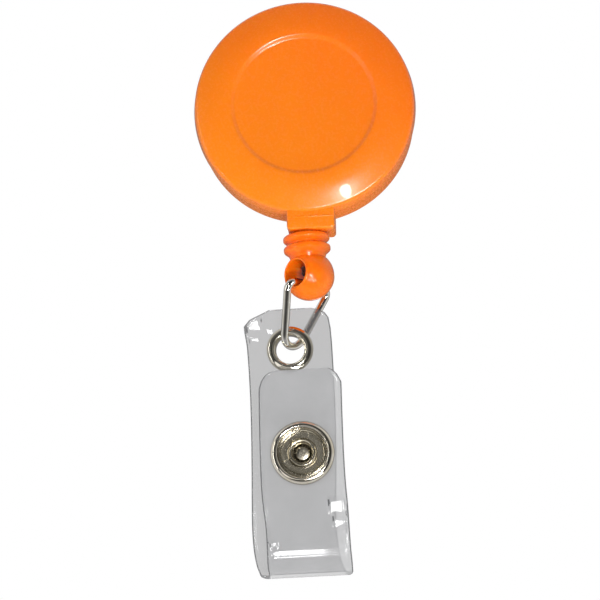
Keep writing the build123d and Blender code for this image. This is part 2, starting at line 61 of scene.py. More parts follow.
# Case, in millimetres: radius and depth, where depth is -y
CASE_R = 16.0
CROWN_DEPTH = 9.9
CROWN_DROP = 1.0
RECESS_FLOOR = 9.45
RECESS_R = 9.98
CREST_R = 10.6
RIM_START = 15.3
RIM_END = 15.5
RIM_ROUND = 0.8
RIM_TURN = radians(21.0)
RIM_LAST = radians(82.0)
BACK_DEPTH = 1.2
PARTING = 6.9
NOSE_HALF = 3.4
NOSE_SHIFT = 0.5
NOSE_BOTTOM = -18.3

# Cord and stopper
CORD_DEPTH = 5.4
CORD_R = 0.4
CORD_WRAP_R = 12.6
CORD_WRAP = radians(40.0)
CORD_CORNER = 14.2
CORD_BEND = 2.0
BALL_Z = -24.43
BALL_R = 3.55
HOLE_R = 1.9
HOLE_YAW = radians(50.0)
HOLE_MOUTH = 0.24
STOPPER_TOP = -18.5
STOPPER_LEAN = radians(-3.3)

# Link
WIRE_R = 0.55
LINK_HALF = 3.95
LINK_CORNER = 1.1
LINK_BEND = 2.0
LINK_LEAN = radians(24.5)
LINK_LEG = radians(17.52)
BAR_DROP = 1.33
BAR_SLIDE = 0.1

# Strap, in its own frame: x across, y up, z towards the front, origin at the eyelet's centre
EYELET_AT = Vector((-3.10, -3.36, -34.66))
TILT = radians(2.0)
ROLL = radians(1.2)
STRAP_T = 0.5
LAYER = 2.6
SNAP_X, SNAP_Y = 1.2, -15.3
FACE = STRAP_T / 2
FLAP_FACE = LAYER + STRAP_T / 2
FOLD_SPLIT = 1.05
FLAT_EDGE = 0.5
BEAD = 0.24

# Belt clip
CLIP_W = 10.0
CLIP_T = 0.5
CLIP_MID = 0.95
CLIP_TOP = 13.2
CLIP_BOTTOM = -12.5


# ---- frames
def frame_matrix(origin, x_axis, y_axis, z_axis):
    """Matrix from local millimetres to the shared frame in metres."""
    m = Matrix.Identity(4)
    for i, axis in enumerate((x_axis, y_axis, z_axis, origin)):
        for j in range(3):
            m[j][i] = axis[j] * MM
    return m


def strap_axes():
    """Across, up and front directions of the strap."""
    up = Vector((0, -sin(TILT), cos(TILT)))
    front = Vector((0, -cos(TILT), -sin(TILT)))
    across = Vector((1, 0, 0)) * cos(ROLL) + up * sin(ROLL)
    return across, front.cross(across), front


ACROSS, STRAP_UP, FRONT = strap_axes()
CASE = frame_matrix((0, 0, 0), (1, 0, 0), (0, 0, 1), (0, -1, 0))
STRAP = frame_matrix(EYELET_AT, ACROSS, STRAP_UP, FRONT)
SNAP = frame_matrix(EYELET_AT + ACROSS * SNAP_X + STRAP_UP * SNAP_Y, ACROSS, STRAP_UP, FRONT)
STOPPER = frame_matrix((0, -CORD_DEPTH, 0), (1, 0, 0), (0, 1, 0), (0, 0, 1))
HOLE_DIR = Vector((-cos(HOLE_YAW), -sin(HOLE_YAW), 0))
HOLE_SIDE = Vector((HOLE_DIR.y, -HOLE_DIR.x, 0))
BALL = Vector((0, -CORD_DEPTH, BALL_Z))
HOLE = frame_matrix(BALL, Vector((0, 0, 1)), HOLE_DIR.cross(Vector((0, 0, 1))), HOLE_DIR)


def at(matrix, x, y, z):
    """A point given in local millimetres, in the shared frame in metres."""
    return matrix @ Vector((x, y, z))


# ---- meshes
def add_object(name, data):
    """Object in the scene round a mesh, lamp or camera."""
    obj = bpy.data.objects.new(name, data)
    SCENE.collection.objects.link(obj)
    return obj


def soften(obj, angle=35.0):
    """Smooth shading, except across edges sharper than the angle."""
    obj.data.shade_smooth()
    obj.data.set_sharp_from_angle(angle=radians(angle))
    return obj


def new_object(name, bm, smooth_angle=40.0):
    """Smooth object from a bmesh."""
    bmesh.ops.recalc_face_normals(bm, faces=bm.faces)
    mesh = bpy.data.meshes.new(name)
    bm.to_mesh(mesh)
    bm.free()
    return soften(add_object(name, mesh), smooth_angle)


def rounded(points, closed=True):
    """Polyline through (r, z, radius) corners, with an arc of that radius at each corner."""
    out = []
    count = len(points)
    for i, corner in enumerate(points):
        here = Vector(corner[:2])
        radius = corner[2] if len(corner) > 2 else 0.0
        first_or_last = not closed and i in (0, count - 1)
        if radius <= 0 or first_or_last:
            out.append((here.x, here.y))
            continue
        before = Vector(points[i - 1][:2]) - here
        after = Vector(points[(i + 1) % count][:2]) - here
        before_dir, after_dir = before.normalized(), after.normalized()
        angle = before_dir.angle(after_dir)
        if angle > radians(178):
            out.append((here.x, here.y))
            continue
        reach = min(radius / tan(angle / 2), before.length * 0.49, after.length * 0.49)
        true_radius = reach * tan(angle / 2)
        centre = here + (before_dir + after_dir).normalized() * (true_radius / sin(angle / 2))
        start = here + before_dir * reach - centre
        end = here + after_dir * reach - centre
        sweep = start.angle(end)
        steps = max(3, int(degrees(sweep) / 9))
        for k in range(steps + 1):
            t = k / steps
            a, b = sin((1 - t) * sweep), sin(t * sweep)
            p = centre + (start * a + end * b) / sin(sweep)
            out.append((p.x, p.y))
    return out


def lathe_bmesh(profile, matrix, segments=192):
    """Closed outline of (r, z) turned about local Z."""
    bm = bmesh.new()
    angles = [2 * pi * k / segments for k in range(segments)]
    rings = []
    for r, z in profile:
        points = [(r * cos(a), r * sin(a), z) for a in angles] if r > 1e-6 else [(0, 0, z)]
        rings.append([bm.verts.new(matrix @ Vector(p)) for p in points])
    for i, ring in enumerate(rings):
        other = rings[(i + 1) % len(rings)]
        if len(ring) == 1 and len(other) == 1:
            continue
        for k in range(segments):
            n = (k + 1) % segments
            corners = [ring[k % len(ring)], ring[n % len(ring)]]
            corners += [other[n % len(other)], other[k % len(other)]]
            bm.faces.new(list(dict.fromkeys(corners)))
    return bm


def lathe(name, points, matrix, segments=192, smooth_angle=40.0):
    """Turned piece from (r, z, corner radius) points."""
    return new_object(name, lathe_bmesh(rounded(points), matrix, segments), smooth_angle)


def bridge(bm, a, b):
    """Quads between two loops with the same number of vertices."""
    size = len(a)
    for k in range(size):
        n = (k + 1) % size
        bm.faces.new((a[k], a[n], b[n], b[k]))


def run_lengths(path):
    """Distance from the first point to each point of a path, by its first two coordinates."""
    lengths = [0.0]
    for a, b in zip(path, path[1:]):
        lengths.append(lengths[-1] + hypot(b[0] - a[0], b[1] - a[1]))
    return lengths


def tube_bmesh(path, radius, sides=20, closed=False, bm=None):
    """Round wire of a radius along points, all in metres."""
    bm = bm or bmesh.new()
    count = len(path)
    angles = [2 * pi * k / sides for k in range(sides)]
    rings = []
    normal = None
    for i, p in enumerate(path):
        if closed:
            tangent = (path[(i + 1) % count] - path[i - 1]).normalized()
        else:
            tangent = (path[min(i + 1, count - 1)] - path[max(i - 1, 0)]).normalized()
        if normal is None:
            normal = Vector((0, 0, 1)) if abs(tangent.z) < 0.9 else Vector((1, 0, 0))
        normal = (normal - tangent * normal.dot(tangent)).normalized()
        side = tangent.cross(normal)
        rings.append([bm.verts.new(p + (normal * cos(a) + side * sin(a)) * radius) for a in angles])
    for i in range(count if closed else count - 1):
        bridge(bm, rings[i], rings[(i + 1) % count])
    if not closed:
        bm.faces.new(rings[0][::-1])
        bm.faces.new(rings[-1])
    return bm


def box_bmesh(low, high, matrix, bevels=()):
    """Box between two local corners; bevels are (test of edge ends, width, segments)."""
    bm = bmesh.new()
    bmesh.ops.create_cube(bm, size=1.0)
    for v in bm.verts:
        v.co = Vector([low[i] if v.co[i] < 0 else high[i] for i in range(3)])
    for test, width, segments in bevels:
        picked = [e for e in bm.edges if test(e.verts[0].co, e.verts[1].co)]
        bmesh.ops.bevel(bm, geom=picked, offset=width, segments=segments, profile=0.5, affect="EDGES")
    bm.transform(matrix)
    return bm


def boolean(obj, cutter, operation):
    """Applies an exact boolean and removes the cutter."""
    mod = obj.modifiers.new("cut", "BOOLEAN")
    mod.object = cutter
    mod.operation = operation
    mod.solver = "EXACT"
    bpy.context.view_layer.update()
    graph = bpy.context.evaluated_depsgraph_get()
    mesh = bpy.data.meshes.new_from_object(obj.evaluated_get(graph))
    obj.modifiers.clear()
    old = obj.data
    obj.data = mesh
    bpy.data.meshes.remove(old)
    bpy.data.objects.remove(cutter)


def cylinder(name, matrix, radius, low, high, segments=96):
    """Helper cylinder for cuts, along local Z."""
    profile = [(0, low), (radius, low), (radius, high), (0, high)]
    return new_object(name, lathe_bmesh(profile, matrix, segments))


def settle(obj, body, material, node):
    """Rides a piece on a body, gives it its material and hides the frame's node that it replaces."""
    obj.data.materials.clear()
    obj.data.materials.append(material)
    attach(obj, body)
    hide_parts(node)
    return obj


def bends(obj, node):
    """Hides the frame's node that a piece replaces and bakes the piece's transform into its mesh."""
    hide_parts(node)
    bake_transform(obj)


# ---- materials
def set_ramp(node, stops):
    """Gives a colour ramp its (position, rgb) stops."""
    elements = node.color_ramp.elements
    while len(elements) < len(stops):
        elements.new(0.5)
    for element, (position, colour) in zip(elements, stops):
        element.position = position
        element.color = (*colour, 1.0)


class Nodes:
    """Small helper for building a node material."""

    def __init__(self, name):
        self.material = bpy.data.materials.new(name)
        self.material.use_nodes = True
        tree = self.material.node_tree
        tree.nodes.clear()
        self.add, self.link = tree.nodes.new, tree.links.new
        output = self.add("ShaderNodeOutputMaterial")
        self.shader = self.add("ShaderNodeBsdfPrincipled")
        self.link(self.shader.outputs[0], output.inputs["Surface"])
        self.object = self.add("ShaderNodeTexCoord").outputs["Object"]

    def set(self, node=None, **values):
        """Gives numbers to the inputs of a node, or of the shader."""
        for key, value in values.items():
            (node or self.shader).inputs[key.replace("_", " ")].default_value = value

    def noise(self, scale, detail=4.0, roughness=0.55, stretch=None, distortion=0.0):
        """Noise in object space; scale is in features per metre."""
        node = self.add("ShaderNodeTexNoise")
        self.set(node, Scale=scale, Detail=detail, Roughness=roughness, Distortion=distortion)
        source = self.object
        if stretch:
            mapping = self.add("ShaderNodeMapping")
            self.set(mapping, Scale=stretch)
            self.link(self.object, mapping.inputs["Vector"])
            source = mapping.outputs[0]
        self.link(source, node.inputs["Vector"])
        return node.outputs["Fac"]

    def slope(self, direction, low, high):
        """Zero to one along a direction of object space, between two distances in metres."""
        node = self.add("ShaderNodeVectorMath")
        node.operation = "DOT_PRODUCT"
        node.inputs[1].default_value = direction
        self.link(self.object, node.inputs[0])
        return self.ramp(node.outputs["Value"], 0.0, 1.0, low, high)

    def mix(self, first, second, share):
        """Blend of two factors."""
        node = self.add("ShaderNodeMix")
        node.data_type = "FLOAT"
        self.set(node, Factor=share)
        self.link(first, node.inputs["A"])
        self.link(second, node.inputs["B"])
        return node.outputs["Result"]

    def ramp(self, fac, low, high, start=0.0, end=1.0):
        """Maps a factor to a range of numbers."""
        node = self.add("ShaderNodeMapRange")
        self.set(node, From_Min=start, From_Max=end, To_Min=low, To_Max=high)
        self.link(fac, node.inputs["Value"])
        return node.outputs["Result"]

    def colours(self, fac, stops):
        """Colour ramp with (position, rgb) stops."""
        node = self.add("ShaderNodeValToRGB")
        set_ramp(node, stops)
        self.link(fac, node.inputs["Fac"])
        return node.outputs["Color"]

    def relief(self, *layers, strength=1.0):
        """Bumps laid over each other, from (height factor, distance in metres) pairs."""
        normal = None
        for height, distance in layers:
            node = self.add("ShaderNodeBump")
            self.set(node, Strength=strength, Distance=distance)
            self.link(height, node.inputs["Height"])
            if normal is not None:
                self.link(normal, node.inputs["Normal"])
            normal = node.outputs["Normal"]
        self.feed(normal, "Normal")

    def feed(self, output, socket):
        self.link(output, self.shader.inputs[socket])


def scaled(colour, *shares):
    """A colour with its three parts multiplied."""
    return tuple(part * share for part, share in zip(colour, shares))


def orange_plastic(name, base, flow_and_shade_tint, coat=0.5, glow=0.2, shine=0.5):
    """Glossy moulded plastic: faint flow in the colour, painted shade darkening it towards the upper
    right, an orange-peel gloss and fine scuffs.
    """
    m = Nodes(name)
    flow = m.noise(160.0, 3.0, 0.5, (1.0, 1.0, 0.55))
    # Painted shade: this slope darkens the colour towards the upper right and is mixed into the random
    # flow.
    painted_shade_slope = m.slope((0.55, 0.0, 0.83), -0.014, 0.016)
    blend = m.mix(flow, painted_shade_slope, 0.72)
    colour = m.colours(blend, [(0.2, base), (0.85, scaled(base, *flow_and_shade_tint))])
    m.feed(colour, "Base Color")
    scuff = m.noise(2600.0, 6.0, 0.7)
    m.feed(m.ramp(scuff, 0.2, 0.34, 0.35, 0.7), "Roughness")
    peel = m.noise(900.0, 2.0, 0.4)
    fine = m.noise(6000.0, 3.0, 0.6)
    m.relief((fine, 0.0000012), (peel, 0.000008))
    m.set(IOR=1.38, Specular_IOR_Level=shine, Coat_Weight=coat, Coat_Roughness=0.045, Coat_IOR=1.42)
    m.set(Subsurface_Weight=glow, Subsurface_Scale=0.0018, Subsurface_Radius=(1.0, 0.35, 0.05))
    return m.material


def nickel(name, base, rough, ripple):
    """Bright nickel plate: slight colour change, tiny scratches and the ripple of pressed sheet."""
    m = Nodes(name)
    stain = m.noise(420.0, 5.0, 0.6)
    m.feed(m.colours(stain, [(0.36, scaled(base, 0.86, 0.84, 0.78)), (0.62, base)]), "Base Color")
    wear = m.noise(3000.0, 6.0, 0.65)
    m.feed(m.ramp(wear, rough[0], rough[1], 0.35, 0.7), "Roughness")
    waves = m.noise(700.0, 2.0, 0.5)
    scratch = m.noise(9000.0, 2.0, 0.5, (1.0, 0.18, 0.5), 0.6)
    m.relief((scratch, 0.0000008), (waves, ripple))
    m.set(Metallic=1.0, IOR=1.5)
    return m.material


def steel(name, base, rough, brush):
    """Rolled or plated steel strip with a fine brushed grain."""
    m = Nodes(name)
    grain = m.noise(5200.0, 4.0, 0.6, brush)
    m.feed(m.colours(grain, [(0.3, scaled(base, 0.86, 0.86, 0.86)), (0.7, base)]), "Base Color")
    m.feed(m.ramp(grain, rough[0], rough[1], 0.3, 0.7), "Roughness")
    patches = m.noise(260.0, 3.0, 0.5)
    m.relief((grain, 0.0000016), (patches, 0.00001))
    m.set(Metallic=1.0)
    return m.material


def vinyl(name, base, alpha, gloss=1.0):
    """Clear soft vinyl: a grey body painted to stand in for the shade seen through the clear sheet,
    glossy skin with slow waves and faint handling marks.
    """
    m = Nodes(name)
    cloud = m.noise(210.0, 3.0, 0.5)
    # Painted shade: the grey base colour stands in for the shaded table behind the clear sheet, with a
    # random tone over it.
    m.feed(m.colours(cloud, [(0.3, base), (0.7, scaled(base, 1.1, 1.1, 1.1))]), "Base Color")
    marks = m.noise(1500.0, 5.0, 0.6)
    m.feed(m.ramp(marks, 0.06, 0.17, 0.4, 0.75), "Roughness")
    waves = m.noise(330.0, 2.0, 0.5)
    fine = m.noise(2400.0, 3.0, 0.5)
    m.relief((fine, 0.000001), (waves, 0.00003))
    m.set(IOR=1.46, Alpha=alpha, Coat_Weight=gloss, Coat_Roughness=0.03)
    return m.material


def braid(name, base, light):
    """Fine braided cord: crossing strands in the colour and the bump."""
    m = Nodes(name)
    wave = m.add("ShaderNodeTexWave")
    wave.wave_type = "BANDS"
    wave.bands_direction = "DIAGONAL"
    m.set(wave, Scale=900.0, Distortion=3.0, Detail=2.0)
    m.link(m.object, wave.inputs["Vector"])
    strands = wave.outputs["Fac"]
    m.feed(m.colours(strands, [(0.2, base), (0.85, light)]), "Base Color")
    m.relief((strands, 0.00005), strength=0.8)
    m.set(Roughness=0.62, Sheen_Weight=0.4, Sheen_Roughness=0.4)
    return m.material


def pale_plastic(name, base):
    """Natural moulded acetal for the hidden spool."""
    m = Nodes(name)
    cloud = m.noise(260.0, 4.0, 0.6)
    m.feed(m.colours(cloud, [(0.3, scaled(base, 0.93, 0.93, 0.93)), (0.7, base)]), "Base Color")
    m.feed(m.ramp(cloud, 0.38, 0.5), "Roughness")
    m.relief((m.noise(3000.0), 0.000003))
    m.set(IOR=1.48)
    return m.material


ORANGE = (0.92, 0.222, 0.008)
# The second colour of each orange sets both its random flow tone and its painted shade towards the upper
# right.
M_FRONT = orange_plastic("orange_front", ORANGE, (0.985, 0.76, 1.0))
M_BACK = orange_plastic("orange_back", ORANGE, (0.98, 0.8, 1.0), 0.1)
M_STOPPER = orange_plastic("orange_stopper", (0.87, 0.168, 0.004), (0.99, 0.9, 1.0), 0.65, 0.5, 0.12)
M_WIRE = nickel("nickel_wire", (0.74, 0.72, 0.68), (0.04, 0.11), 0.000006)
M_EYELET = nickel("nickel_eyelet", (0.76, 0.72, 0.63), (0.08, 0.17), 0.00001)
M_SNAP = nickel("nickel_snap", (0.7, 0.66, 0.58), (0.05, 0.15), 0.00001)
M_DISH = nickel("nickel_dish", (0.5, 0.46, 0.37), (0.14, 0.3), 0.00002)
M_STUD_AND_WINDOW_SHADE = nickel("nickel_stud", (0.6, 0.56, 0.48), (0.22, 0.34), 0.000012)
M_CLIP = steel("clip_nickel", (0.72, 0.71, 0.69), (0.12, 0.24), (1.0, 1.0, 0.06))
M_SPRING = steel("spring_steel", (0.42, 0.43, 0.46), (0.2, 0.34), (1.0, 0.05, 1.0))
M_AXLE = steel("axle_steel", (0.62, 0.62, 0.63), (0.22, 0.36), (1.0, 0.1, 1.0))
# Painted shade: the back and flap layers are darker and lighter grey copies of one clear vinyl, and the
# edge copy is darker still, standing in for the shade seen through and along them.
M_VINYL_BACK_PAINTED_SHADE = vinyl("clear_vinyl_back_painted_shade", (0.17, 0.169, 0.173), 0.335)
M_VINYL_FLAP_PAINTED_SHADE = vinyl("clear_vinyl_flap_painted_shade", (0.44, 0.442, 0.448), 0.5)
M_VINYL_EDGE_PAINTED_SHADE = vinyl("clear_vinyl_edge_painted_shade", (0.12, 0.123, 0.128), 0.75, 0.5)
M_CORD = braid("cord_braid", (0.016, 0.003, 0.003), (0.07, 0.016, 0.014))
M_SPOOL = pale_plastic("spool_acetal", (0.82, 0.81, 0.77))


# ---- case
def crown(radius):
    """Depth of the front annulus at a radius."""
    span = (radius - CREST_R) / (RIM_END - CREST_R)
    return CROWN_DEPTH - CROWN_DROP * span**2


NOSE_FRAME = frame_matrix((NOSE_SHIFT, 0, 0), (1, 0, 0), (0, 0, 1), (0, -1, 0))


def nose_half(name, low, high, top, outer, bottom=NOSE_BOTTOM):
    """One half of the nose: corners at its foot rounded along its depth, outer edges softened."""
    def corners(a, b):
        return abs(a.x - b.x) < 1e-9 and abs(a.y - b.y) < 1e-9 and a.y < bottom + 0.1

    def face_edges(a, b):
        return abs(a.z - outer) < 1e-6 and abs(b.z - outer) < 1e-6 and min(a.y, b.y) < top - 0.1

    bevels = [(corners, 0.6, 8), (face_edges, 0.3, 5)]
    box = box_bmesh((-NOSE_HALF, bottom, low), (NOSE_HALF, top, high), NOSE_FRAME, bevels)
    return new_object(name, box)


def case_front():
    """Front cover: sloped label recess, crowned annulus, rounded rim and the nose's front half."""
    rim_r = RIM_START - RIM_ROUND * sin(RIM_TURN)
    rim_z = crown(RIM_START) - RIM_ROUND * cos(RIM_TURN)
    profile = [(0, RECESS_FLOOR), (RECESS_R, RECESS_FLOOR, 0.5)]
    profile += [(CREST_R - 0.12, CROWN_DEPTH - 0.01, 0.45)]
    profile += [(r, crown(r), 0) for r in (11.2, 11.9, 12.6, 13.3, 14.0, 14.6, RIM_START)]
    for k in range(1, 19):
        a = pi / 2 - RIM_TURN - (RIM_LAST - RIM_TURN) * k / 18
        profile.append((rim_r + RIM_ROUND * cos(a), rim_z + RIM_ROUND * sin(a)))
    profile += [(CASE_R, PARTING + 0.02, 0.05)]
    profile += [(14.44, PARTING + 0.02), (14.44, 6.02, 0.05), (13.72, 6.02, 0.05), (13.72, 8.33, 0.3)]
    profile += [(3.0, 8.33), (3.0, 7.92), (1.06, 7.92), (1.06, 8.33), (0, 8.33)]
    shell = lathe("case_front", profile, CASE, 288)

    boolean(shell, nose_half("nose_front", PARTING + 0.012, 8.6, -15.0, 8.6), "UNION")
    top_edges = [(lambda a, b: a.z > 8.6 and b.z > 8.6, 0.09, 4)]
    ridge_low, ridge_high = (-NOSE_HALF + 0.2, -16.6, 8.4), (NOSE_HALF - 0.2, -16.4, 8.7)
    ridge = box_bmesh(ridge_low, ridge_high, NOSE_FRAME, top_edges)
    boolean(shell, new_object("nose_ridge", ridge), "UNION")
    return soften(shell)


def case_back():
    """Back case: shell with a shallow ring on its back, the nose's rear half and the cord's guide."""
    ring = BACK_DEPTH + 0.12
    profile = [(1.1, BACK_DEPTH), (11.9, BACK_DEPTH, 0.05), (12.05, ring, 0.05), (12.35, ring, 0.05)]
    profile += [(12.5, BACK_DEPTH, 0.05), (15.6, BACK_DEPTH, 0.8)]
    profile += [(15.85, PARTING - 0.04, 0.08), (14.5, PARTING - 0.04)]
    profile += [(14.5, 2.4, 0.5), (1.1, 2.4)]
    shell = lathe("case_back", profile, CASE, 288)

    nose = nose_half("nose_back", 2.4, PARTING - 0.012, -14.7, 2.4, NOSE_BOTTOM + 0.2)
    boolean(shell, nose, "UNION")
    guide = [(0, -18.8), (0.95, -18.8), (0.95, -18.31), (0.55, -17.95, 0.3), (0.55, -15.8, 0.4)]
    guide += [(1.4, -14.3), (1.4, -13.9), (0, -13.9)]
    boolean(shell, lathe("guide", guide, STOPPER, 48), "DIFFERENCE")
    return soften(shell)


CASE_FRONT = settle(case_front(), "case", M_FRONT, "front_cover")
settle(case_back(), "case", M_BACK, "back_case")


# ---- stopper, knot, cord
LEAN_AXES = (
    Vector((cos(STOPPER_LEAN), 0, -sin(STOPPER_LEAN))),
    Vector((sin(STOPPER_LEAN), 0, cos(STOPPER_LEAN))),
)
LEANING = frame_matrix(BALL - LEAN_AXES[1] * BALL_Z, LEAN_AXES[0], (0, 1, 0), LEAN_AXES[1])


def stopper():
    """Ribbed neck on a ball that is pierced for the link, with a bore for the cord."""
    start = asin(HOLE_R / BALL_R)
    angles = [start + (pi - 2 * start) * k / 72 for k in range(73)]
    profile = [(BALL_R * sin(a), BALL_R * cos(a)) for a in angles]
    inner = [(HOLE_R, profile[0][1] - HOLE_MOUTH), (HOLE_R, profile[-1][1] + HOLE_MOUTH)]
    round_front = []
    for t in [radians(d) for d in (0, 18, 36, 54, 72)]:
        radius = HOLE_R + HOLE_MOUTH * (1 - sin(t))
        round_front.append((radius, inner[0][1] + HOLE_MOUTH * 0.8 * cos(t)))
    round_back = [(r, -z) for r, z in round_front[::-1]]
    arc = [p for p in profile if p[0] > HOLE_R + HOLE_MOUTH + 0.02]
    outline = round_front + inner + round_back + arc[::-1]
    ball = new_object("stopper_body", lathe_bmesh(outline, HOLE, 224))
    top, foot = STOPPER_TOP, BALL_Z + 2.36
    neck = [(0.6, top + 0.1, 0.1), (2.7, top + 0.1, 0.15), (3.3, top - 0.2, 0.3)]
    neck += [(3.34, top - 0.72, 0.36), (2.74, top - 1.22, 0.16), (2.76, top - 1.38, 0.14)]
    neck += [(3.36, top - 1.77, 0.34), (3.34, top - 2.33, 0.38), (2.66, top - 2.9, 0.4)]
    neck += [(2.5, foot), (0.6, foot)]
    collar = lathe("neck", neck, LEANING)
    boolean(ball, collar, "UNION")
    bore = [(0, BALL_Z), (0.5, BALL_Z), (0.5, BALL_Z + 3.4, 0.3), (0.85, top + 0.6), (0, top + 0.6)]
    boolean(ball, lathe("bore", bore, STOPPER, 48), "DIFFERENCE")
    return soften(ball, 38.0)


STOPPER_BODY = settle(stopper(), "stopper", M_STOPPER, "stopper")


def knot():
    """Overhand knot with its cut end, in the ball's hole and close to the swivel's axis."""
    up = Vector((0, 0, 1))
    centre = BALL + HOLE_DIR * 0.62 + Vector((0, 0, 0.6))
    points = []
    for k in range(120):
        t = 2 * pi * k / 120
        x = sin(t) + 2 * sin(2 * t)
        y = cos(t) - 2 * cos(2 * t)
        z = -sin(3 * t)
        local = Vector((x, y, z)) * 0.19
        p = centre + HOLE_SIDE * local.x + up * local.y + HOLE_DIR * local.z * 1.6
        points.append(p * MM)
    bm = tube_bmesh(points, 0.31 * MM, 16, closed=True)
    tail = []
    for side, out, rise in ((-0.25, 0.0, -0.5), (-0.5, 0.25, -0.75), (-0.72, 0.5, -0.85)):
        tail.append(centre + HOLE_SIDE * side + HOLE_DIR * out + Vector((0, 0, rise)))
    tube_bmesh([p * MM for p in tail], 0.3 * MM, 16, bm=bm)
    return new_object("cord_knot_tie", bm)


settle(knot(), "cord_end", M_CORD, "cord_knot")


def cord_run():
    """Cord from the winding through the nose and stopper to the knot."""
    wrap = CORD_WRAP_R
    leave = acos(wrap / CORD_CORNER)
    path = []
    for k in range(13):
        a = leave + CORD_WRAP * (1 - k / 12)
        path.append(Vector((wrap * sin(a), -CORD_DEPTH, -wrap * cos(a))))
    a, b = path[-1], Vector((0, -CORD_DEPTH, -CORD_CORNER))
    run = (b - a).normalized()
    turn = run.angle(Vector((0, 0, -1)))
    reach = CORD_BEND * tan(turn / 2)
    start, end = b - run * reach, b + Vector((0, 0, -reach))
    path += [a.lerp(start, t) for t in (0.33, 0.66)]
    for k in range(9):
        t = k / 8
        path.append(start * (1 - t) ** 2 + b * 2 * t * (1 - t) + end * t * t)
    foot = Vector((0, -CORD_DEPTH, BALL_Z + 1.3))
    path += [end.lerp(foot, k / 40) for k in range(1, 41)]
    return new_object("cord_run", tube_bmesh([p * MM for p in path], CORD_R * MM))


CORD = cord_run()
CORD.data.materials.append(M_CORD)
bends(CORD, "cord_lead")


# ---- link
def link_wire():
    """Triangular loop of round wire, butted in the ball."""
    corner_x = LINK_HALF - LINK_CORNER + LINK_CORNER / tan((pi / 2 - LINK_LEG) / 2)
    corner_y = -corner_x / tan(LINK_LEG)
    corners = [(0.04, 0), (corner_x, 0, LINK_CORNER), (0, corner_y, LINK_BEND)]
    corners += [(-corner_x, 0, LINK_CORNER), (-0.04, 0)]
    flat = rounded(corners, closed=False)
    dense = []
    for p, q in zip(flat, flat[1:]):
        p, q = Vector(p), Vector(q)
        cuts = max(1, int((q - p).length / 0.35))
        dense += [p.lerp(q, k / cuts) for k in range(cuts)]
    dense.append(Vector(flat[-1]))
    up = Vector((0, 0, cos(LINK_LEAN))) - HOLE_SIDE * sin(LINK_LEAN)
    origin = BALL - Vector((0, 0, BAR_DROP)) + HOLE_DIR * BAR_SLIDE
    path = [(origin + HOLE_DIR * p.x + up * p.y) * MM for p in dense]
    return new_object("link_wire", tube_bmesh(path, WIRE_R * MM, 28), 50.0)


LINK_WIRE = settle(link_wire(), "link", M_WIRE, "link")


# ---- eyelet and snap
def eyelet_ring():
    """Rolled eyelet: round-nosed flange, throat and the curled bead behind."""
    f = FACE
    profile = [(2.0, -0.62, 0.1), (2.46, -0.62, 0.12), (2.5, -0.42, 0.06), (2.19, -0.38, 0.02)]
    profile += [(2.19, f), (2.9, f), (3.26, f + 0.01, 0.05), (3.36, f + 0.12, 0.1)]
    profile += [(3.02, f + 0.34, 0.4), (2.62, f + 0.5, 0.4), (2.3, f + 0.52, 0.25)]
    profile += [(2.08, f + 0.28, 0.2), (2.03, f - 0.1, 0.2)]
    return lathe("eyelet_ring", profile, STRAP, 160, 55.0)


def eyelet_back():
    """Washer under the eyelet's curl."""
    f = -FACE
    profile = [(2.22, f), (3.1, f, 0.04), (3.12, f - 0.13, 0.05), (2.5, f - 0.16, 0.05), (2.22, f - 0.13)]
    return lathe("eyelet_back", profile, STRAP, 160, 55.0)


EYELET_RING = settle(eyelet_ring(), "strap", M_EYELET, "eyelet")
settle(eyelet_back(), "strap", M_EYELET, "eyelet_washer")


def snap_cap():
    """Front ring of the snap: rolled rim, stepped dish with arc windows, and a rolled collar."""
    f = FLAP_FACE
    profile = [(1.5, f), (4.2, f), (4.46, f + 0.04, 0.06), (4.52, f + 0.22, 0.15)]
    profile += [(4.4, f + 0.52, 0.3), (4.12, f + 0.8, 0.4), (3.78, f + 0.94, 0.3)]
    profile += [(3.56, f + 0.78, 0.16), (3.46, f + 0.42, 0.06), (3.36, f + 0.44, 0.05)]
    profile += [(3.24, f + 0.56, 0.08), (3.06, f + 0.52, 0.08), (2.96, f + 0.3, 0.06)]
    profile += [(2.1, f + 0.3, 0.08), (1.98, f + 0.55, 0.12), (1.8, f + 0.74, 0.12)]
    profile += [(1.58, f + 0.68, 0.12), (1.42, f + 0.4, 0.1), (1.3, f + 0.1, 0.1)]
    profile += [(1.3, f - 0.93, 0.05), (1.5, f - 0.93)]
    cap = lathe("snap_cap", profile, SNAP, 192, 50.0)
    for k in range(4):
        middle = radians(45 + 90 * k)
        half = radians(24.0)
        bm = bmesh.new()
        rows = []
        for j in range(13):
            a = middle - half + 2 * half * j / 12
            c, s = cos(a), sin(a)
            corners = [(2.12, f + 0.06), (2.86, f + 0.06), (2.86, f + 1.2), (2.12, f + 1.2)]
            rows.append([bm.verts.new(SNAP @ Vector((r * c, r * s, z))) for r, z in corners])
        for a, b in zip(rows, rows[1:]):
            bridge(bm, a, b)
        bm.faces.new(rows[0])
        bm.faces.new(rows[-1][::-1])
        boolean(cap, new_object("window", bm), "DIFFERENCE")
    return soften(cap, 50.0)


def snap_socket_cup():
    """Socket cup behind the flap."""
    b = LAYER - STRAP_T / 2
    profile = [(1.5, b), (3.85, b), (3.9, b - 0.1, 0.06), (3.88, b - 0.28, 0.08)]
    profile += [(3.4, b - 0.42, 0.12), (3.1, b - 1.28, 0.14), (2.9, b - 1.4, 0.1)]
    profile += [(1.74, b - 1.4, 0.06), (1.74, b - 1.24), (2.65, b - 1.24)]
    profile += [(2.75, b - 0.43), (1.5, b - 0.43)]
    return lathe("snap_socket_cup", profile, SNAP, 128, 50.0)


